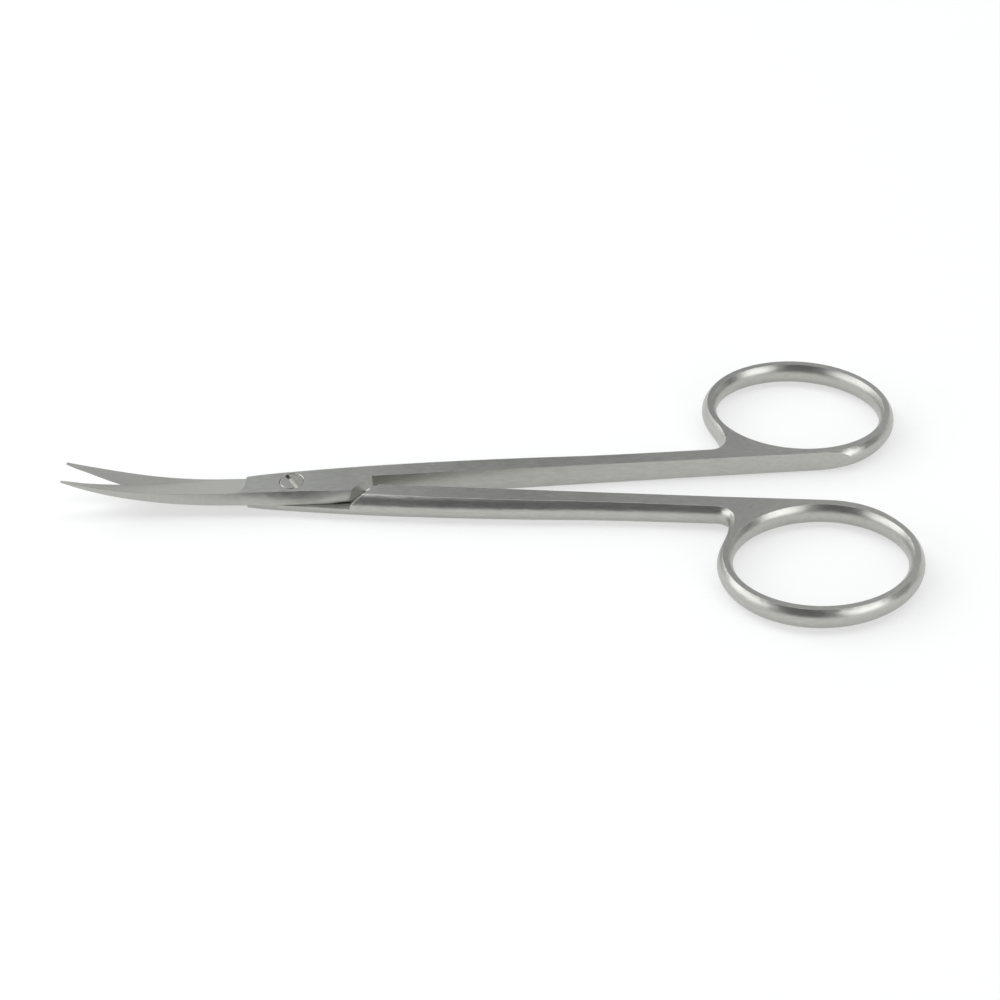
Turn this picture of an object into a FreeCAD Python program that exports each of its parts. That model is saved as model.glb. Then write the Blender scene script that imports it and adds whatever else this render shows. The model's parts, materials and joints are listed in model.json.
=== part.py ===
import FreeCAD, Part
import math
import os

# Fine curved dissecting scissors: two crossed halves held by one screw.
# Millimetres. The screw's axis is the Z axis and the flat underside of the
# joint lies on z = 0. The finger rings point to +X and the blades to -X.
# Each half is drawn shut and then turned to the opening it is shown at.
# In a half's own plan, u runs along X and v runs from the meeting plane
# towards the side that its shank and ring lie on.

# whole instrument
REST_OPENING = 7.9          # angle between the two halves, degrees
JOINT_HEIGHT = 3.65         # thickness at the screw
BOW_HEIGHT = 3.05           # thickness of the rings and the shanks' ends
TAPER_START = 12.0          # the shanks thin from here
TAPER_END = 57.0            # to here
SIDE_RADIUS = 2.0           # section radius of the barrelled outer side

# finger rings
RING_X = 70.75              # centre, from the screw
RING_Y = 11.15              # centre, from the meeting plane
RING_LONG = 12.33           # half length of the flat band's centre line
RING_WIDE = 10.31           # half width of the flat band's centre line
RING_TILT = -12.8           # lean of the long axis, degrees
RING_FLAT = 0.72            # width of the flat band
RING_INNER_RADIUS = 2.15    # section radius of the barrelled inner side
RING_JOIN_LEFT = 188.0      # where the shank's back meets the ring, degrees
RING_JOIN_RIGHT = -20.0     # where the shank's inner face meets it, degrees
INNER_FACE_END = 71.8       # flat inner face ends here, from the screw

# shanks, measured at half height
SHANK_GAP = 0.16            # from the meeting plane to the inner face
SHANK_LEAD = 2.2            # outer side, 2 mm left of the block
SHANK_HEEL = 2.55           # outer side at the block's left end
SHANK_SCREW = 3.1           # at the screw
SHANK_JOINT = 3.5           # at the start of the taper
SHANK_MIDDLE = 3.22
SHANK_RING = 2.88           # where the ring begins
NOTCH_X = 59.65             # deepest point of the notch before the ring
NOTCH_RADIUS = 2.3

# joint
BLOCK_LEFT = 6.25           # left shoulder, from the screw
BLOCK_RIDGE = 2.3           # upper front edge, from the meeting plane
BLOCK_FOOT = 2.98           # lower front edge, from the meeting plane
BLOCK_TAIL = 8.4            # right end of the upper front edge
BLOCK_TAIL_IN = 10.9        # the tail's end at the shank's inner face
LAP_SHOULDER = 12.0         # step down to the lap at the inner face
LAP_SHOULDER_OUT = 8.8      # and where it nears the outer side
LAP_GAP = 0.03              # between the sliding faces

# blades
BLADE_LENGTH = 30.85        # screw to point
BLADE_MIDDLE = 18.45        # second place where its lines are given
BLADE_FORE = 24.6           # third place
SPINE_HEEL = 2.5            # spine from the meeting plane, at the heel
SPINE_MIDDLE = 1.52
SPINE_FORE = 1.03
EDGE_HEEL = 3.08            # cutting edge past the meeting plane, there
EDGE_MIDDLE = 2.3
EDGE_FORE = 1.25
BLADE_HEIGHT = 1.78         # ridge over the sliding face, at the heel
RIDGE_MIDDLE = 1.45
RIDGE_FORE = 0.97
POINT_HEIGHT = 0.34
POINT_WIDTH = 0.28
EDGE_LAND = 0.12            # height left at the cutting edge
SPINE_INSET = 0.5           # ridge inside of the spine, at the heel
INSET_MIDDLE = 0.12
INSET_POINT = 0.03
HEEL_ROUND = 0.8            # rounding of the cutting edge's heel
SPINE_RADIUS = 5.0          # section radius of the spine side
CURVE_START = 9.9           # the blades begin to curve up
CURVE_RADIUS = 60.0

# screw
HEAD_DIAMETER = 3.2
HEAD_HEIGHT = 0.95
NECK_DIAMETER = 2.2
THREAD_DIAMETER = 1.9
SLOT_WIDTH = 0.5
SLOT_DEPTH = 0.5
SLOT_ANGLE = -58.0          # direction of the slot in the plan, degrees
RUN_CLEARANCE = 0.03        # all round the head and the neck
THREAD_CLEARANCE = 0.01
EDGE_BREAK = 0.08           # chamfer of the head and of its seat

MID = JOINT_HEIGHT / 2
FAR = 60.0                  # reach of the cutting bodies
SKIN = 0.12                 # overlap between joined bodies


def vec(x, y, z=0.0):
    """Point or direction."""
    return FreeCAD.Vector(x, y, z)


def spline(points, start=None, end=None):
    """Smooth edge through points, with the slope at both ends if given."""
    curve = Part.BSplineCurve()
    places = [vec(*p) for p in points]
    if start:
        curve.interpolate(Points=places, InitialTangent=vec(*start),
                          FinalTangent=vec(*end))
    else:
        curve.interpolate(Points=places)
    return curve.toShape()


def line(a, b):
    """Straight edge between two points."""
    return Part.makeLine(vec(*a), vec(*b))


def path(points):
    """Straight edges from point to point."""
    return [line(a, b) for a, b in zip(points, points[1:])]


def prism(edges, bottom, top):
    """Upright body on a closed plan outline."""
    face = Part.Face(Part.Wire(Part.sortEdges(edges)[0]))
    face.translate(vec(0, 0, bottom))
    return face.extrude(vec(0, 0, top - bottom))


def bulge(radius, height):
    """Depth of a barrelled side whose arc spans the given height."""
    return radius - math.sqrt(radius ** 2 - height ** 2 / 4)


def rise(r):
    """Height of the sliding face over its flat middle, at a radius."""
    run = max(r - CURVE_START, 0.0)
    return CURVE_RADIUS - math.sqrt(CURVE_RADIUS ** 2 - run ** 2)


def along(stations):
    """Smooth function of u through a few (u, value) stations."""
    curve = Part.BSplineCurve()
    curve.interpolate(Points=[vec(u, v) for u, v in stations])

    def value(u):
        low, high = curve.FirstParameter, curve.LastParameter
        rising = stations[-1][0] > stations[0][0]
        for _ in range(50):
            half = (low + high) / 2
            if (curve.value(half).x < u) == rising:
                low = half
            else:
                high = half
        return curve.value(low).y
    return value


def ring_ellipse(grow):
    """The flat band's centre line, grown outwards."""
    ellipse = Part.Ellipse(vec(0, 0), RING_LONG + grow, RING_WIDE + grow)
    turn = FreeCAD.Placement(vec(RING_X, RING_Y),
                             FreeCAD.Rotation(vec(0, 0, 1), RING_TILT))
    ellipse.transform(turn.toMatrix())
    return ellipse


def outer_outline(inset):
    """Edge of the flat from the block along the shank and round the ring.

    It is drawn for the ring's thickness; inset moves it into the steel.
    """
    back = bulge(SIDE_RADIUS, BOW_HEIGHT) + inset
    notch_u = NOTCH_X - NOTCH_RADIUS
    shank = spline([
        (-BLOCK_LEFT - 2.0, SHANK_LEAD - back),
        (-BLOCK_LEFT, SHANK_HEEL - back),
        (0.0, SHANK_SCREW - back),
        (TAPER_START, SHANK_JOINT - back),
        ((TAPER_START + TAPER_END) / 2, SHANK_MIDDLE - back),
        (notch_u, SHANK_RING - back)],
        (1.0, 0.16), (1.0, 0.0))
    radius = NOTCH_RADIUS + inset
    low = SHANK_RING - back
    centre = vec(notch_u, low + radius)
    slant = radius * math.sqrt(0.5)
    notch = Part.Arc(vec(notch_u, low),
                     centre + vec(slant, -slant),
                     centre + vec(radius, 0)).toShape()
    ellipse = ring_ellipse(RING_FLAT / 2 - inset)
    left = math.radians(RING_JOIN_LEFT)
    right = math.radians(RING_JOIN_RIGHT)
    ring = Part.Arc(ellipse, right, left).toShape()
    a, b = ellipse.value(left), ellipse.value(right)
    turn_a = ellipse.tangent(left)[0]
    turn_b = ellipse.tangent(right)[0]
    web = spline([(centre.x + radius, centre.y), (a.x, a.y)],
                 (0.0, 8.0), (-turn_a.x * 6, -turn_a.y * 6))
    inner = spline([(b.x, b.y), (INNER_FACE_END, SHANK_GAP + inset)],
                   (-turn_b.x * 14, -turn_b.y * 14), (-14.0, 0.0))
    return [shank, notch, web, ring, inner]


def swept_side(edges, start, outward, radius, depth):
    """Barrelled strip along an outline, of the joint's full height."""
    deep = bulge(radius, JOINT_HEIGHT)
    crest = bulge(radius, BOW_HEIGHT)

    def at(out, z):
        return start + outward * out + vec(0, 0, z)
    root = crest - deep
    section = Part.Wire([
        Part.Arc(at(root, 0), at(crest, MID), at(root, JOINT_HEIGHT)).toShape(),
        Part.makeLine(at(root, JOINT_HEIGHT), at(-depth, JOINT_HEIGHT)),
        Part.makeLine(at(-depth, JOINT_HEIGHT), at(-depth, 0)),
        Part.makeLine(at(-depth, 0), at(root, 0))])
    shell = Part.BRepOffsetAPI.MakePipeShell(Part.Wire(edges))
    shell.setBiNormalMode(vec(0, 0, 1))
    shell.add(section)
    shell.build()
    shell.makeSolid()
    return shell.shape()


def bow():
    """Shank and finger ring, at the joint's full height."""
    edges = outer_outline(0.0)
    start = edges[0].valueAt(edges[0].FirstParameter)
    along_it = edges[0].tangentAt(edges[0].FirstParameter)
    outward = vec(-along_it.y, along_it.x)
    depth = 2 * SKIN + bulge(SIDE_RADIUS, JOINT_HEIGHT) / 2
    side = swept_side(edges, start, outward, SIDE_RADIUS, depth)
    core_edges = outer_outline(depth - SKIN)
    first = core_edges[0].valueAt(core_edges[0].FirstParameter)
    last_edge = core_edges[-1]
    last = last_edge.valueAt(last_edge.LastParameter)
    core = prism(core_edges + path([
        (last.x, last.y), (last.x, -1.0), (first.x, -1.0),
        (first.x, first.y)]), 0, JOINT_HEIGHT)
    body = side.fuse(core)
    rim = ring_ellipse(-RING_FLAT / 2)
    opening = prism([ring_ellipse(SKIN - RING_FLAT / 2).toShape()],
                    -1, JOINT_HEIGHT + 1)
    body = body.cut(opening)
    inside = rim.toShape()
    start = rim.value(0)
    inward = (vec(RING_X, RING_Y) - start).normalize()
    lining = swept_side([inside], start, inward, RING_INNER_RADIUS, 2 * SKIN
                        + bulge(RING_INNER_RADIUS, JOINT_HEIGHT) / 2)
    return body.fuse(lining)


def taper_cuts():
    """Wedges that thin both faces of the shank down to the ring."""
    drop = (JOINT_HEIGHT - BOW_HEIGHT) / 2
    wedges = []
    for face_z, way in ((JOINT_HEIGHT, 1), (0.0, -1)):
        points = [(TAPER_START, face_z), (TAPER_END, face_z - way * drop),
                  (TAPER_END + FAR, face_z - way * drop),
                  (TAPER_END + FAR, face_z + way * 3),
                  (TAPER_START, face_z + way * 3)]
        wire = Part.makePolygon([vec(x, -FAR, z)
                                 for x, z in points + points[:1]])
        wedges.append(Part.Face(wire).extrude(vec(0, 2 * FAR, 0)))
    return wedges


spine_line = along([
    (BLOCK_TAIL + 1.5, BLOCK_FOOT + 0.1), (0.0, BLOCK_FOOT),
    (-BLOCK_LEFT, SPINE_HEEL),
    (-BLADE_MIDDLE, SPINE_MIDDLE), (-BLADE_FORE, SPINE_FORE),
    (-BLADE_LENGTH, POINT_WIDTH / 2)])
ridge_height = along([
    (0.0, JOINT_HEIGHT / 2), (-BLOCK_LEFT, BLADE_HEIGHT),
    (-BLADE_MIDDLE, RIDGE_MIDDLE), (-BLADE_FORE, RIDGE_FORE),
    (-BLADE_LENGTH, POINT_HEIGHT)])
ridge_inset = along([
    (BLOCK_TAIL, BLOCK_FOOT - BLOCK_RIDGE), (0.0, BLOCK_FOOT - BLOCK_RIDGE),
    (-BLOCK_LEFT, SPINE_INSET), (-BLADE_MIDDLE, INSET_MIDDLE),
    (-BLADE_LENGTH, INSET_POINT)])
edge_line = along([
    (-BLOCK_LEFT - HEEL_ROUND, EDGE_HEEL), (-BLADE_MIDDLE, EDGE_MIDDLE),
    (-BLADE_FORE, EDGE_FORE), (-BLADE_LENGTH, POINT_WIDTH / 2)])


def spread(first, last, count):
    """Evenly spaced places from the first to the last."""
    return [first + (last - first) * i / (count - 1) for i in range(count)]


def level(side, u, v, h):
    """Point of a blade whose height follows the middle line only."""
    return vec(u, side * v, MID + rise(abs(u)) + side * h)


def spine_body(side):
    """Block and blade with the rounded spine side, ridge left too high."""
    wires = []
    for u in [BLOCK_TAIL + 1.2, 3.0, -3.0] + spread(
            -BLOCK_LEFT - 1.5, -BLADE_LENGTH, 7):
        height = max(ridge_height(min(u, 0.0)), POINT_HEIGHT)
        inset = ridge_inset(min(u, BLOCK_TAIL))

        def v(h):
            crown = h * (height - h) / (2 * SPINE_RADIUS)
            return inset * h / height - spine_line(u) - crown
        low, high = -0.35, height + 0.9
        middle = (low + high) / 2
        foot, waist, crest = (level(side, u, v(h), h)
                              for h in (low, middle, high))
        top_in, foot_in = (level(side, u, 0.6, h) for h in (high, low))
        wires.append(Part.Wire([
            Part.Arc(foot, waist, crest).toShape(),
            Part.makeLine(crest, top_in), Part.makeLine(top_in, foot_in),
            Part.makeLine(foot_in, foot)]))
    return Part.makeLoft(wires, True, False)


def edge_body(side):
    """Plan shape of the blade from the middle to the cutting edge."""
    points = [(u, side * edge_line(u)) for u in spread(
        -BLOCK_LEFT - HEEL_ROUND, -BLADE_LENGTH, 6)]
    inside = (0.85 - BLOCK_LEFT, side * (EDGE_HEEL - 1.3))
    round_off = spline([inside, points[0]],
                       (-0.3, side * 2.0), (-2.0, side * -0.02))
    edge = spline(points)
    tip = points[-1]
    low, high = (MID - 1, MID + 9) if side > 0 else (MID - 9, MID + 8)
    plate = prism([round_off, edge] + path([
        tip, (tip[0], side * -0.05), (inside[0], side * -0.05),
        inside]), low, high)
    return plate.cut(over_facet(side))


def block_side(side):
    """The room right of the block's curved left shoulder."""
    curve = [(u, side * v) for u, v in (
        (-BLOCK_LEFT + 0.3, 4.5), (-BLOCK_LEFT + 0.2, 1.6),
        (-BLOCK_LEFT, 0.4), (-BLOCK_LEFT - 0.1, -0.5),
        (-BLOCK_LEFT - 0.6, -1.5), (-BLOCK_LEFT - 2.4, -2.6))]
    first, last = curve[0], curve[-1]
    return prism([spline(curve)] + path([
        last, (last[0], side * -8.0), (8.0, side * -8.0),
        (8.0, first[1]), first]), -FAR / 2, FAR / 2)


def over_facet(side):
    """Everything outside the blade's sloping facet."""
    wires = []
    for u in [-BLOCK_LEFT + 1.5] + spread(
            -BLOCK_LEFT - 1.5, -BLADE_LENGTH - 0.5, 7):
        at = max(u, -BLADE_LENGTH)
        v_ridge = ridge_inset(at) - spine_line(at)
        v_edge = edge_line(min(at, -BLOCK_LEFT - HEEL_ROUND))
        h_ridge = ridge_height(at)
        slope = (h_ridge - EDGE_LAND) / (v_edge - v_ridge)
        low_v, high_v = v_ridge - 1.5, v_edge + 1.0
        low_h = h_ridge + 1.5 * slope
        high_h = EDGE_LAND - 1.0 * slope
        wires.append(Part.makePolygon([
            level(side, u, low_v, low_h), level(side, u, high_v, high_h),
            level(side, u, high_v, 14.0), level(side, u, low_v, 14.0),
            level(side, u, low_v, low_h)]))
    return Part.makeLoft(wires, True, False)


def block_face_tool(side):
    """Slab off the block's flat face."""
    z = MID + side * JOINT_HEIGHT / 2
    low, high = (z, z + 9) if side > 0 else (z - 9, z)
    return Part.makeBox(BLOCK_LEFT + 2.6 + TAPER_START, 16, high - low,
                        vec(-BLOCK_LEFT - 2.6, -8, low))


def front_tool(side):
    """What lies before the shank's inner face and right of the tail."""
    tail = [(BLOCK_TAIL - 1.3, side * -4.6),
            (BLOCK_TAIL - 0.45, side * (-BLOCK_RIDGE - 0.8)),
            (BLOCK_TAIL, side * -BLOCK_RIDGE),
            (BLOCK_TAIL + 0.75, side * -1.5),
            (BLOCK_TAIL_IN - 0.75, side * -0.45),
            (BLOCK_TAIL_IN, side * SHANK_GAP)]
    return prism([spline(tail)] + path([
        tail[-1], (2 * FAR, side * SHANK_GAP), (2 * FAR, side * -9.0),
        (tail[0][0], side * -9.0), tail[0]]), -FAR / 2, FAR / 2)


def lap_tool(side):
    """What the other half takes: all past the sliding face, up to the
    shoulder where the shank has its whole thickness."""
    gap = side * LAP_GAP / 2
    flat_end = vec(CURVE_START, 0, MID + gap)
    arc_middle = vec(24.0, 0, MID + rise(24.0) + gap)
    arc_end = vec(38.0, 0, MID + rise(38.0) + gap)
    far_z = -4.0 if side > 0 else 22.0
    wire = Part.Wire([
        Part.makeLine(vec(0, 0, MID + gap), flat_end),
        Part.Arc(flat_end, arc_middle, arc_end).toShape(),
        Part.makeLine(arc_end, vec(38.0, 0, far_z)),
        Part.makeLine(vec(38.0, 0, far_z), vec(0, 0, far_z)),
        Part.makeLine(vec(0, 0, far_z), vec(0, 0, MID + gap))])
    round_body = Part.Face(wire).revolve(vec(0, 0, 0), vec(0, 0, 1), 360)
    shoulder = [(u, side * v) for u, v in (
        (LAP_SHOULDER, -2.0), (LAP_SHOULDER, SHANK_GAP),
        (LAP_SHOULDER - 0.85, 1.1), (LAP_SHOULDER - 1.65, 1.98),
        (LAP_SHOULDER_OUT + 0.95, 2.66), (LAP_SHOULDER_OUT, 3.22),
        (LAP_SHOULDER_OUT - 0.7, 3.5), (LAP_SHOULDER_OUT - 2.2, 4.4))]
    keep = prism([spline(shoulder)] + path([
        shoulder[-1], (FAR, shoulder[-1][1]), (FAR, side * -2.0),
        shoulder[0]]), -FAR / 2, FAR / 2)
    return round_body.cut(keep)


def upright(radius, bottom, top):
    """Cylinder on the screw's axis."""
    return Part.makeCylinder(radius, top - bottom, vec(0, 0, bottom))


def screw_seat(side):
    """Bore and head seat of the upper half, threaded hole of the lower."""
    if side < 0:
        return upright(THREAD_DIAMETER / 2 + THREAD_CLEARANCE, -1, MID + 1)
    head = HEAD_DIAMETER / 2 + RUN_CLEARANCE
    floor = JOINT_HEIGHT - HEAD_HEIGHT - RUN_CLEARANCE
    bore = upright(NECK_DIAMETER / 2 + RUN_CLEARANCE, MID - 1, JOINT_HEIGHT)
    seat = upright(head, floor, JOINT_HEIGHT + 1)
    mouth = Part.makeCone(head, head + EDGE_BREAK, EDGE_BREAK,
                          vec(0, 0, JOINT_HEIGHT - EDGE_BREAK))
    return bore.fuse([seat, mouth])


def pivot_screw():
    """Screw with its head flush in the upper half, end flush below."""
    head, neck = HEAD_DIAMETER / 2, NECK_DIAMETER / 2
    thread = THREAD_DIAMETER / 2
    under_head = JOINT_HEIGHT - HEAD_HEIGHT
    under_neck = MID - LAP_GAP / 2
    outline = [(0, 0), (thread - EDGE_BREAK, 0), (thread, EDGE_BREAK),
               (thread, under_neck), (neck, under_neck),
               (neck, under_head), (head, under_head),
               (head, JOINT_HEIGHT - EDGE_BREAK),
               (head - EDGE_BREAK, JOINT_HEIGHT), (0, JOINT_HEIGHT)]
    wire = Part.makePolygon([vec(r, 0, z) for r, z in outline + outline[:1]])
    body = Part.Face(wire).revolve(vec(0, 0), vec(0, 0, 1), 360)
    slot = Part.makeBox(HEAD_DIAMETER + 2, SLOT_WIDTH, SLOT_DEPTH + 1,
                        vec(-HEAD_DIAMETER / 2 - 1, -SLOT_WIDTH / 2,
                            JOINT_HEIGHT - SLOT_DEPTH))
    slot.rotate(vec(0, 0), vec(0, 0, 1), SLOT_ANGLE)
    return body.cut(slot)


def half(side):
    """One half: side 1 lies above the sliding face, -1 below it."""
    grip = bow()
    if side < 0:
        grip = grip.mirror(vec(0, 0, 0), vec(0, 1, 0))
    body = grip.fuse(spine_body(side)).fuse(edge_body(side))
    body = body.cut(over_facet(side).cut(block_side(side)))
    tools = [block_face_tool(side), front_tool(side), lap_tool(side)]
    tools += taper_cuts() + [screw_seat(side)]
    for tool in tools:
        body = body.cut(tool)
    body = max(body.Solids, key=lambda solid: solid.Volume)
    body = body.removeSplitter()
    body.rotate(vec(0, 0), vec(0, 0, 1), side * REST_OPENING / 2)
    return body


if __name__ == "__main__":
    os.makedirs("parts", exist_ok=True)
    half(1).exportStep("parts/upper_half.step")
    half(-1).exportStep("parts/lower_half.step")
    pivot_screw().exportStep("parts/pivot_screw.step")
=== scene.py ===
import bpy
import json
import math
from mathutils import Matrix, Vector


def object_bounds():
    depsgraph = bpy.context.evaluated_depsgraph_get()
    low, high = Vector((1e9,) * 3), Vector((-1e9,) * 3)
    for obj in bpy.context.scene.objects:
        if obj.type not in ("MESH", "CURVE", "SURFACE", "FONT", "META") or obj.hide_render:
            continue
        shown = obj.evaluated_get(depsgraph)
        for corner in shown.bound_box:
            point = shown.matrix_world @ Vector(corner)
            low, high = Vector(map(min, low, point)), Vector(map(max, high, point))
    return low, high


bl_info = {
    "name": "Curved Dissecting Scissors",
    "version": (1, 0, 0),
    "blender": (4, 5, 0),
    "location": "3D View > Sidebar > Scissors",
    "description": "Finishes, studio and camera for fine curved scissors",
    "category": "Object",
}

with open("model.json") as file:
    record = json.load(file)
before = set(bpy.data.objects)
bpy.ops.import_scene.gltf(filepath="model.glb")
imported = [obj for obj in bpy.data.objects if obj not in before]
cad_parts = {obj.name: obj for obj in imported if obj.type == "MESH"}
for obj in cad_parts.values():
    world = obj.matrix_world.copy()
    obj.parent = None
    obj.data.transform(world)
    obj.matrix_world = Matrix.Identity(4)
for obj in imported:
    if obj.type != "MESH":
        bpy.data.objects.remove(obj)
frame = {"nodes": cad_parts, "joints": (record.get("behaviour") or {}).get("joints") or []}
CAD_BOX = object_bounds()

MM = 0.001

# The halves are drawn shut and turned apart by this much each, in degrees.
HALF_OPENING = -frame["joints"][0]["range_deg"][0] / 2

# The grinding changes direction over these lengths.
RING_BLEND = 1.2 * MM
BLADE_BLEND = 0.8 * MM

# The studio's four lights: name, place, the point each one faces, width and
# height, all in metres, and the property that holds its power.
JOINT_AREA = (0.03, 0.0, 0.0)
SOFTBOXES = (
    ("top_softbox", (0.0, 0.12, 0.9), (0.0, 0.12, 0.0), (1.8, 0.5),
     "top_power"),
    ("left_softbox", (-0.72, -0.23, 0.28), JOINT_AREA, (0.95, 0.5),
     "left_power"),
    ("right_softbox", (0.58, -0.54, 0.27), JOINT_AREA, (0.54, 0.5),
     "right_power"),
    ("window", (-0.55, 0.46, 0.5), JOINT_AREA, (0.36, 0.46),
     "window_power"),
)

# Where one part of the room passes into the next. Each pair is the start and
# the end of the change, along the direction in which one looks.
WALL_TO_LEFT = (-0.06, -0.17)     # to the wall's left, along X
WALL_TO_RIGHT = (0.03, 0.1)       # to the wall's right, along X
WALL_TO_SWEEP = (0.36, 0.04)      # down to the wall's foot, along Z
FRONT_TO_WALL = (-0.3, 0.4)       # from the front to the wall, along Y


def linear(hex_colour):
    """An sRGB hex colour as linear red, green, blue and alpha."""
    parts = [int(hex_colour[i:i + 2], 16) / 255 for i in (1, 3, 5)]
    return tuple(c / 12.92 if c <= 0.04045 else ((c + 0.055) / 1.055) ** 2.4
                 for c in parts) + (1.0,)


def node(tree, kind, settings=None, links=None):
    """Adds one node. Links maps an input to a value or another's output."""
    made = tree.nodes.new(kind)
    for name, value in (settings or {}).items():
        setattr(made, name, value)
    for name, value in (links or {}).items():
        if isinstance(value, bpy.types.NodeSocket):
            tree.links.new(value, made.inputs[name])
        else:
            made.inputs[name].default_value = value
    return made


def colour_property(name, description, hex_colour):
    """A colour that is written as sRGB hex and kept linear."""
    return bpy.props.FloatVectorProperty(
        name=name, description=description, subtype="COLOR", size=4,
        min=0.0, max=1.0, default=linear(hex_colour))


def length_property(name, description, millimetres):
    """A length that is written in millimetres and kept in metres."""
    return bpy.props.FloatProperty(
        name=name, description=description, subtype="DISTANCE",
        unit="LENGTH", precision=5, default=millimetres * MM)


def share_property(name, description, share, most=1.0):
    """A plain number from zero to one, or to the most that makes sense."""
    return bpy.props.FloatProperty(
        name=name, description=description, subtype="FACTOR",
        min=0.0, max=most, default=share)


def power_property(name, description, watts):
    """The power of a lamp."""
    return bpy.props.FloatProperty(
        name=name, description=description, subtype="POWER", unit="POWER",
        min=0.0, default=watts)


def angle_property(name, description, degrees):
    """An angle that is written in degrees and kept in radians."""
    return bpy.props.FloatProperty(
        name=name, description=description, subtype="ANGLE",
        unit="ROTATION", default=math.radians(degrees))


class SteelFinish(bpy.types.PropertyGroup):
    """Finish of the two forged halves and of the screw."""
    steel: colour_property(
        "Steel", "Reflection of the ground stainless steel", "#B6B6B1")
    screw: colour_property(
        "Screw", "Reflection of the screw's turned head", "#B4B3AE")
    roughness: share_property(
        "Roughness", "How far the satin blurs what it shows", 0.33)
    blade_roughness: share_property(
        "Blade roughness", "The same on the cross-ground blades", 0.42)
    unevenness: share_property(
        "Unevenness", "How far the blur wanders either way", 0.045, 0.3)
    # Real satin lines are a few hundredths of a millimetre apart, too fine
    # for the picture. They are drawn as coarse as they need to be to show.
    grain_width: length_property(
        "Grain width", "Spacing of the satin lines", 0.3)
    grain_length: length_property(
        "Grain length", "Length of one satin line", 1.4)
    grain_depth: length_property(
        "Grain depth", "Depth of the satin lines", 0.0004)
    grain_strength: share_property(
        "Grain strength", "How clearly the satin lines stand out", 0.7)
    grain_dark: share_property(
        "Grain dark", "Tint where the steel's lines are darkest", 0.89, 1.2)
    grain_light: share_property(
        "Grain light", "Tint where the steel's lines are lightest", 1.09, 1.2)
    blade_fineness: share_property(
        "Blade fineness", "How much finer the blades' lines are", 1.3, 3.0)
    blade_contrast: share_property(
        "Blade contrast", "Contrast of the blades' lines", 0.32)
    cloud_size: length_property(
        "Cloud size", "Size of the broad unevenness of handling", 5.5)
    turning_strength: share_property(
        "Turning strength", "How clearly the lathe's rings stand out", 0.6)
    speckle_size: length_property(
        "Speckle size", "Size of the fine specks on the screw", 0.5)
    screw_dark: share_property(
        "Screw dark", "Tint of the screw's darkest specks", 0.92, 1.2)
    screw_light: share_property(
        "Screw light", "Tint of the screw's lightest specks", 1.05, 1.2)
    edge_round: length_property(
        "Edge rounding", "Radius that tumbling leaves on each edge", 0.07)
    screw_edge_round: length_property(
        "Screw edge rounding", "Radius on the edges of the head", 0.03)
    ring_x: length_property(
        "Ring centre", "Ring centre from the screw, along the scissors",
        69.81)
    ring_y: length_property(
        "Ring offset", "Ring centre from the middle line", 16.0)
    ring_reach: length_property(
        "Ring reach", "Radius inside which the grain follows the ring", 14.6)
    blade_start: length_property(
        "Blade start", "Left end of the joint block, from the screw", 6.4)


class StudioSetup(bpy.types.PropertyGroup):
    """Floor, room, lamps and camera."""
    floor: colour_property(
        "Floor", "Paper that the scissors lie on", "#FCFCFC")
    glow_share: share_property(
        "Glow", "Share of the floor's white that is its own", 0.55)
    floor_size: length_property("Floor size", "Side of the floor", 12000.0)
    fibre_size: length_property(
        "Fibre size", "Size of the paper's fibres", 1.5)
    fibre_depth: length_property(
        "Fibre depth", "Depth between the paper's fibres", 0.05)
    room_wall: colour_property(
        "Wall", "Wall behind the scissors", "#66686C")
    room_left: colour_property(
        "Wall at the left", "Where the window lights the wall", "#E6E8EA")
    room_right: colour_property(
        "Wall at the right", "Where the wall catches some light", "#D2D3D4")
    room_sweep: colour_property(
        "Sweep", "Foot of the wall, where the white paper rises", "#E4E4E2")
    room_front: colour_property(
        "Room in front", "Dim room behind the camera", "#66676A")
    lamp: colour_property("Lamps", "Colour of the softboxes", "#FEFFFF")
    top_power: power_property(
        "Top softbox", "Power of the softbox overhead", 4.9)
    left_power: power_property(
        "Left softbox", "Power of the softbox at the left", 3.0)
    right_power: power_property(
        "Right softbox", "Power of the softbox front right", 2.1)
    window_power: power_property(
        "Window", "Power of the small window behind, at the left", 2.0)
    aim_x: length_property(
        "Aim along", "Point that the camera looks at", 28.157)
    aim_y: length_property(
        "Aim across", "Point that the camera looks at", -0.158)
    distance: length_property(
        "Camera distance", "Camera from the point that it looks at", 272.2)
    azimuth: angle_property(
        "Azimuth", "Camera's turn about the vertical", 2.673)
    elevation: angle_property(
        "Elevation", "Camera's height as an angle", 39.0)
    roll: angle_property(
        "Roll", "Camera's turn about its own line of sight", -2.391)
    lens: bpy.props.FloatProperty(
        name="Lens", description="Focal length on a 36 mm wide frame",
        subtype="DISTANCE_CAMERA", unit="CAMERA", default=72.04)


def new_material(name):
    """A node material with an empty tree."""
    material = bpy.data.materials.new(name)
    material.use_nodes = True
    tree = material.node_tree
    tree.nodes.clear()
    return material, tree


def shank_grain(tree, along, finish):
    """Satin lines along the shank, from belt grinding."""
    fine, slow = 1 / finish.grain_width, 1 / finish.grain_length
    lines = node(tree, "ShaderNodeVectorMath", {"operation": "MULTIPLY"}, {
        0: along, 1: (slow, fine, fine)})
    return node(tree, "ShaderNodeTexNoise", {"noise_dimensions": "3D"}, {
        "Vector": lines.outputs[0], "Scale": 1.0, "Detail": 3.0,
        "Roughness": 0.6}).outputs[0]


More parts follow.
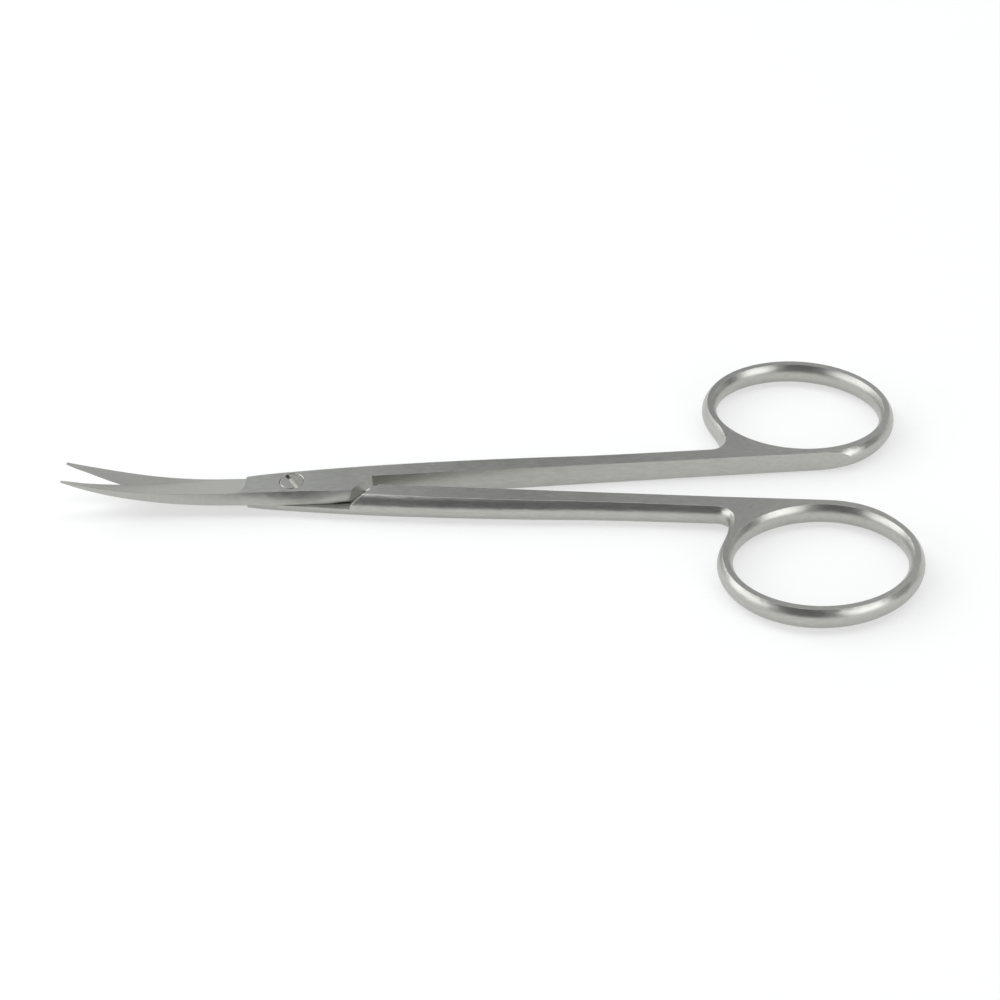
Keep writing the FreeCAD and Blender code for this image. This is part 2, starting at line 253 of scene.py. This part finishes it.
def ring_grain(tree, place, height, side, finish):
    """Satin lines round the ring, and the distance from its middle.

    The pattern reads the heading from the ring's middle as a point on a
    circle, so that it has no seam.
    """
    fine, slow = 1 / finish.grain_width, 1 / finish.grain_length
    from_middle = node(
        tree, "ShaderNodeVectorMath", {"operation": "SUBTRACT"}, {
            0: place, 1: (finish.ring_x, side * finish.ring_y, 0.0)})
    level = node(tree, "ShaderNodeVectorMath", {"operation": "MULTIPLY"}, {
        0: from_middle.outputs[0], 1: (1.0, 1.0, 0.0)})
    radius = node(tree, "ShaderNodeVectorMath", {"operation": "LENGTH"}, {
        0: level.outputs[0]}).outputs["Value"]
    heading = node(
        tree, "ShaderNodeVectorMath", {"operation": "NORMALIZE"}, {
            0: level.outputs[0]})
    turn = node(tree, "ShaderNodeSeparateXYZ", links={
        0: heading.outputs[0]}).outputs
    round_place = node(tree, "ShaderNodeCombineXYZ", links={
        0: turn[0], 1: turn[1], 2: radius})
    round_scale = finish.ring_reach * slow
    lines = node(tree, "ShaderNodeVectorMath", {"operation": "MULTIPLY"}, {
        0: round_place.outputs[0], 1: (round_scale, round_scale, fine)})
    level_up = node(tree, "ShaderNodeMath", {"operation": "MULTIPLY"}, {
        0: height, 1: fine})
    grain = node(tree, "ShaderNodeTexNoise", {"noise_dimensions": "4D"}, {
        "Vector": lines.outputs[0], "W": level_up.outputs[0],
        "Scale": 1.0, "Detail": 3.0, "Roughness": 0.6}).outputs[0]
    return grain, radius


def blade_grain(tree, along, finish):
    """Finer, weaker satin lines across the blade."""
    fine = finish.blade_fineness / finish.grain_width
    slow = 1 / finish.grain_length
    lines = node(tree, "ShaderNodeVectorMath", {"operation": "MULTIPLY"}, {
        0: along, 1: (fine, slow, slow)})
    noise = node(tree, "ShaderNodeTexNoise", {"noise_dimensions": "3D"}, {
        "Vector": lines.outputs[0], "Scale": 1.0, "Detail": 2.0,
        "Roughness": 0.5})
    half_range = finish.blade_contrast / 2
    return node(tree, "ShaderNodeMapRange", links={
        "Value": noise.outputs[0], "To Min": 0.5 - half_range,
        "To Max": 0.5 + half_range}).outputs[0]


def satin_steel(name, side, finish):
    """Satin ground stainless steel of one forged half.

    Belt grinding leaves fine lines along the shank and round the ring, and
    lines across the blades. They draw each reflection out into a soft band,
    and tumbling has rounded the edges, so that these catch a thin light.
    """
    material, tree = new_material(name)
    place = node(tree, "ShaderNodeTexCoord").outputs["Object"]
    # the half's own length runs along X again once it is turned shut
    along = node(tree, "ShaderNodeMapping", {"vector_type": "TEXTURE"}, {
        "Vector": place,
        "Rotation": (0.0, 0.0, math.radians(side * HALF_OPENING))}).outputs[0]
    straight = node(tree, "ShaderNodeSeparateXYZ", links={
        0: along}).outputs

    # each region has its own direction of grinding
    on_ring, radius = ring_grain(tree, place, straight[2], side, finish)
    near_ring = node(tree, "ShaderNodeMapRange", links={
        "Value": radius, "From Min": finish.ring_reach,
        "From Max": finish.ring_reach - RING_BLEND})
    handle = node(tree, "ShaderNodeMix", {"data_type": "FLOAT"}, {
        0: near_ring.outputs[0], 2: shank_grain(tree, along, finish),
        3: on_ring})
    on_blade = node(tree, "ShaderNodeMapRange", links={
        "Value": straight[0], "From Min": -finish.blade_start,
        "From Max": -finish.blade_start - BLADE_BLEND}).outputs[0]
    grain = node(tree, "ShaderNodeMix", {"data_type": "FLOAT"}, {
        0: on_blade, 2: handle.outputs[0],
        3: blade_grain(tree, along, finish)}).outputs[0]

    # the blur wanders with the grain and with broad marks of handling
    clouds = node(tree, "ShaderNodeTexNoise", {"noise_dimensions": "3D"}, {
        "Vector": place, "Scale": 1 / finish.cloud_size, "Detail": 2.0,
        "Roughness": 0.5})
    marks = node(tree, "ShaderNodeMath", {"operation": "ADD"}, {
        0: grain, 1: clouds.outputs[0]})
    spread = node(tree, "ShaderNodeMapRange", {"clamp": False}, {
        "Value": marks.outputs[0], "From Min": 0.5, "From Max": 1.5,
        "To Min": -finish.unevenness, "To Max": finish.unevenness})
    ground = node(tree, "ShaderNodeMix", {"data_type": "FLOAT"}, {
        0: on_blade, 2: finish.roughness, 3: finish.blade_roughness})
    rough = node(tree, "ShaderNodeMath", {"operation": "ADD"}, {
        0: ground.outputs[0], 1: spread.outputs[0]})

    tint = node(tree, "ShaderNodeMapRange", links={
        "Value": grain, "From Min": 0.25, "From Max": 0.75,
        "To Min": finish.grain_dark, "To Max": finish.grain_light})
    colour = node(tree, "ShaderNodeVectorMath", {"operation": "SCALE"}, {
        0: tuple(finish.steel)[:3], "Scale": tint.outputs[0]})
    rounded = node(tree, "ShaderNodeBevel", {"samples": 6}, {
        "Radius": finish.edge_round})
    relief = node(tree, "ShaderNodeBump", links={
        "Height": grain, "Strength": finish.grain_strength,
        "Distance": finish.grain_depth, "Normal": rounded.outputs[0]})
    steel = node(tree, "ShaderNodeBsdfPrincipled", links={
        "Base Color": colour.outputs[0], "Metallic": 1.0,
        "Roughness": rough.outputs[0], "Normal": relief.outputs[0]})
    node(tree, "ShaderNodeOutputMaterial", links={0: steel.outputs[0]})
    return material


def turned_steel(name, finish):
    """Fine turned stainless steel of the screw.

    The lathe leaves rings round the head, which spread the light a little
    along the radius.
    """
    material, tree = new_material(name)
    place = node(tree, "ShaderNodeTexCoord").outputs["Object"]
    level = node(tree, "ShaderNodeVectorMath", {"operation": "MULTIPLY"}, {
        0: place, 1: (1.0, 1.0, 0.0)})
    radius = node(tree, "ShaderNodeVectorMath", {"operation": "LENGTH"}, {
        0: level.outputs[0]}).outputs["Value"]
    rings = node(tree, "ShaderNodeTexNoise", {"noise_dimensions": "1D"}, {
        "W": radius, "Scale": 1 / finish.grain_width, "Detail": 3.0,
        "Roughness": 0.6}).outputs[0]
    specks = node(tree, "ShaderNodeTexNoise", {"noise_dimensions": "3D"}, {
        "Vector": place, "Scale": 1 / finish.speckle_size, "Detail": 2.0})
    rough = node(tree, "ShaderNodeMapRange", {"clamp": False}, {
        "Value": rings, "From Min": 0.0, "From Max": 1.0,
        "To Min": finish.roughness - finish.unevenness,
        "To Max": finish.roughness + finish.unevenness})
    tint = node(tree, "ShaderNodeMapRange", links={
        "Value": specks.outputs[0], "From Min": 0.3, "From Max": 0.7,
        "To Min": finish.screw_dark, "To Max": finish.screw_light})
    colour = node(tree, "ShaderNodeVectorMath", {"operation": "SCALE"}, {
        0: tuple(finish.screw)[:3], "Scale": tint.outputs[0]})
    rounded = node(tree, "ShaderNodeBevel", {"samples": 6}, {
        "Radius": finish.screw_edge_round})
    relief = node(tree, "ShaderNodeBump", links={
        "Height": rings, "Strength": finish.turning_strength,
        "Distance": finish.grain_depth, "Normal": rounded.outputs[0]})
    steel = node(tree, "ShaderNodeBsdfPrincipled", links={
        "Base Color": colour.outputs[0], "Metallic": 1.0,
        "Roughness": rough.outputs[0], "Normal": relief.outputs[0]})
    node(tree, "ShaderNodeOutputMaterial", links={0: steel.outputs[0]})
    return material


def backdrop_paper(name, studio):
    """Matt white backdrop paper, lit through from below.

    The paper's own glow keeps it white and leaves a pale, soft shadow. The
    camera sees the glow, and so do the steel's reflections.
    """
    material, tree = new_material(name)
    place = node(tree, "ShaderNodeTexCoord").outputs["Object"]
    fibre = node(tree, "ShaderNodeTexNoise", {"noise_dimensions": "3D"}, {
        "Vector": place, "Scale": 1 / studio.fibre_size, "Detail": 3.0})
    relief = node(tree, "ShaderNodeBump", links={
        "Height": fibre.outputs[0], "Strength": 0.1,
        "Distance": studio.fibre_depth})
    paper = node(tree, "ShaderNodeBsdfPrincipled", links={
        "Base Color": tuple(studio.floor), "Roughness": 0.9,
        "Specular IOR Level": 0.0, "Normal": relief.outputs[0]})
    ray = node(tree, "ShaderNodeLightPath").outputs
    seen = node(tree, "ShaderNodeMath", {"operation": "MAXIMUM"}, {
        0: ray["Is Camera Ray"], 1: ray["Is Glossy Ray"]})
    seen_or_through = node(tree, "ShaderNodeMath", {"operation": "MAXIMUM"}, {
        0: seen.outputs[0], 1: ray["Is Transmission Ray"]})
    share = node(tree, "ShaderNodeMath", {"operation": "MULTIPLY"}, {
        0: seen_or_through.outputs[0], 1: studio.glow_share})
    glow = node(tree, "ShaderNodeEmission", links={
        "Color": tuple(studio.floor), "Strength": 1.0})
    sheet = node(tree, "ShaderNodeMixShader", links={
        0: share.outputs[0], 1: paper.outputs[0], 2: glow.outputs[0]})
    node(tree, "ShaderNodeOutputMaterial", links={0: sheet.outputs[0]})
    return material


def dress(cad_node, material):
    """Gives a CAD node its finish."""
    shown = frame["nodes"][cad_node]
    shown.data.materials.clear()
    shown.data.materials.append(material)


class SCISSORS_OT_finish_halves(bpy.types.Operator):
    """Gives the two forged halves their satin ground steel"""
    bl_idname = "scissors.finish_halves"
    bl_label = "Finish the halves"

    def execute(self, context):
        finish = context.scene.scissors_finish
        dress("upper_half", satin_steel(
            "satin_ground_steel_upper", 1, finish))
        dress("lower_half", satin_steel(
            "satin_ground_steel_lower", -1, finish))
        return {"FINISHED"}


class SCISSORS_OT_finish_screw(bpy.types.Operator):
    """Gives the slotted screw its fine turned steel"""
    bl_idname = "scissors.finish_screw"
    bl_label = "Finish the screw"

    def execute(self, context):
        finish = context.scene.scissors_finish
        dress("pivot_screw", turned_steel("fine_turned_steel", finish))
        return {"FINISHED"}


def hang_softbox(name, place, aim, size, power, colour):
    """A rectangular area lamp that faces a point."""
    lamp = bpy.data.lights.new(name, "AREA")
    lamp.shape = "RECTANGLE"
    lamp.size, lamp.size_y = size
    lamp.energy = power
    lamp.color = tuple(colour)[:3]
    holder = bpy.data.objects.new(name, lamp)
    bpy.context.scene.collection.objects.link(holder)
    look = Vector(aim) - Vector(place)
    holder.rotation_euler = look.to_track_quat("-Z", "Y").to_euler()
    holder.location = place


class SCISSORS_OT_studio(bpy.types.Operator):
    """Lays the floor and sets up the room, the softboxes and the camera"""
    bl_idname = "scissors.studio"
    bl_label = "Set up the studio"

    def execute(self, context):
        studio = context.scene.scissors_studio
        self.lay_floor(context, studio)
        self.light_room(context, studio)
        for name, place, aim, size, power in SOFTBOXES:
            hang_softbox(
                name, place, aim, size, getattr(studio, power), studio.lamp)
        self.place_camera(context, studio)
        return {"FINISHED"}

    def lay_floor(self, context, studio):
        """White paper under the scissors, as high as their lowest point."""
        half, low = studio.floor_size / 2, CAD_BOX[0].z
        corners = [(x, y, low) for x, y in (
            (-half, -half), (half, -half), (half, half), (-half, half))]
        sheet = bpy.data.meshes.new("floor")
        sheet.from_pydata(corners, [], [(0, 1, 2, 3)])
        sheet.materials.append(backdrop_paper("matt_backdrop_paper", studio))
        floor = bpy.data.objects.new("floor", sheet)
        context.scene.collection.objects.link(floor)

    def light_room(self, context, studio):
        """The room that the steel shows.

        A grey wall stands behind the scissors. A window lights its left, its
        right catches some light, and white paper rises at its foot. The room
        in front is dim, which draws the dark bands on the barrelled sides.
        """
        world = bpy.data.worlds.new("studio_room")
        context.scene.world = world
        world.use_nodes = True
        tree = world.node_tree
        tree.nodes.clear()
        way = node(tree, "ShaderNodeTexCoord").outputs["Generated"]
        toward = node(tree, "ShaderNodeSeparateXYZ", links={0: way}).outputs
        colour = tuple(studio.room_wall)
        for axis, (start, end), next_colour in (
                (0, WALL_TO_LEFT, studio.room_left),
                (0, WALL_TO_RIGHT, studio.room_right),
                (2, WALL_TO_SWEEP, studio.room_sweep)):
            share = node(tree, "ShaderNodeMapRange", {
                "interpolation_type": "SMOOTHSTEP"}, {
                "Value": toward[axis], "From Min": start, "From Max": end})
            colour = node(tree, "ShaderNodeMix", {"data_type": "RGBA"}, {
                0: share.outputs[0], 6: colour,
                7: tuple(next_colour)}).outputs[2]
        start, end = FRONT_TO_WALL
        behind = node(tree, "ShaderNodeMapRange", {
            "interpolation_type": "SMOOTHSTEP"}, {
            "Value": toward[1], "From Min": start, "From Max": end})
        room = node(tree, "ShaderNodeMix", {"data_type": "RGBA"}, {
            0: behind.outputs[0], 6: tuple(studio.room_front), 7: colour})
        glow = node(tree, "ShaderNodeBackground", links={
            "Color": room.outputs[2], "Strength": 1.0})
        node(tree, "ShaderNodeOutputWorld", links={0: glow.outputs[0]})

    def place_camera(self, context, studio):
        """The camera where the photograph was taken from."""
        turn, lift = studio.azimuth, studio.elevation
        back = Vector((math.sin(turn) * math.cos(lift),
                       -math.cos(turn) * math.cos(lift), math.sin(lift)))
        level = Vector((0.0, 0.0, 1.0)).cross(back).normalized()
        upright = back.cross(level)
        lean, rise = math.cos(studio.roll), math.sin(studio.roll)
        right = lean * level + rise * upright
        up = lean * upright - rise * level
        camera = bpy.data.cameras.new("camera")
        camera.sensor_width = 36.0
        camera.lens = studio.lens
        camera.clip_start = 10 * MM
        holder = bpy.data.objects.new("camera", camera)
        context.scene.collection.objects.link(holder)
        aim = Vector((studio.aim_x, studio.aim_y, 0.0))
        facing = Matrix((right, up, back)).transposed().to_4x4()
        holder.matrix_world = Matrix.Translation(
            aim + back * studio.distance) @ facing
        context.scene.camera = holder
        context.scene.view_settings.view_transform = "Standard"


STEPS = (SCISSORS_OT_finish_halves, SCISSORS_OT_finish_screw,
         SCISSORS_OT_studio)


class SCISSORS_PT_panel(bpy.types.Panel):
    """Sizes, colours and steps of the scissors"""
    bl_idname = "SCISSORS_PT_panel"
    bl_label = "Scissors"
    bl_space_type = "VIEW_3D"
    bl_region_type = "UI"
    bl_category = "Scissors"

    def draw(self, context):
        layout = self.layout
        for settings in (context.scene.scissors_finish,
                         context.scene.scissors_studio):
            box = layout.box()
            for name in settings.__annotations__:
                box.prop(settings, name)
        for step in STEPS:
            layout.operator(step.bl_idname)


CLASSES = (SteelFinish, StudioSetup) + STEPS + (SCISSORS_PT_panel,)


def register():
    """Adds the classes and their settings to Blender."""
    for item in CLASSES:
        bpy.utils.register_class(item)
    bpy.types.Scene.scissors_finish = bpy.props.PointerProperty(
        type=SteelFinish)
    bpy.types.Scene.scissors_studio = bpy.props.PointerProperty(
        type=StudioSetup)


def unregister():
    """Takes the classes and their settings away again."""
    del bpy.types.Scene.scissors_finish
    del bpy.types.Scene.scissors_studio
    for item in reversed(CLASSES):
        bpy.utils.unregister_class(item)


def main():
    """Runs every step."""
    register()
    bpy.ops.scissors.finish_halves()
    bpy.ops.scissors.finish_screw()
    bpy.ops.scissors.studio()


if __name__ == "__main__":
    main()
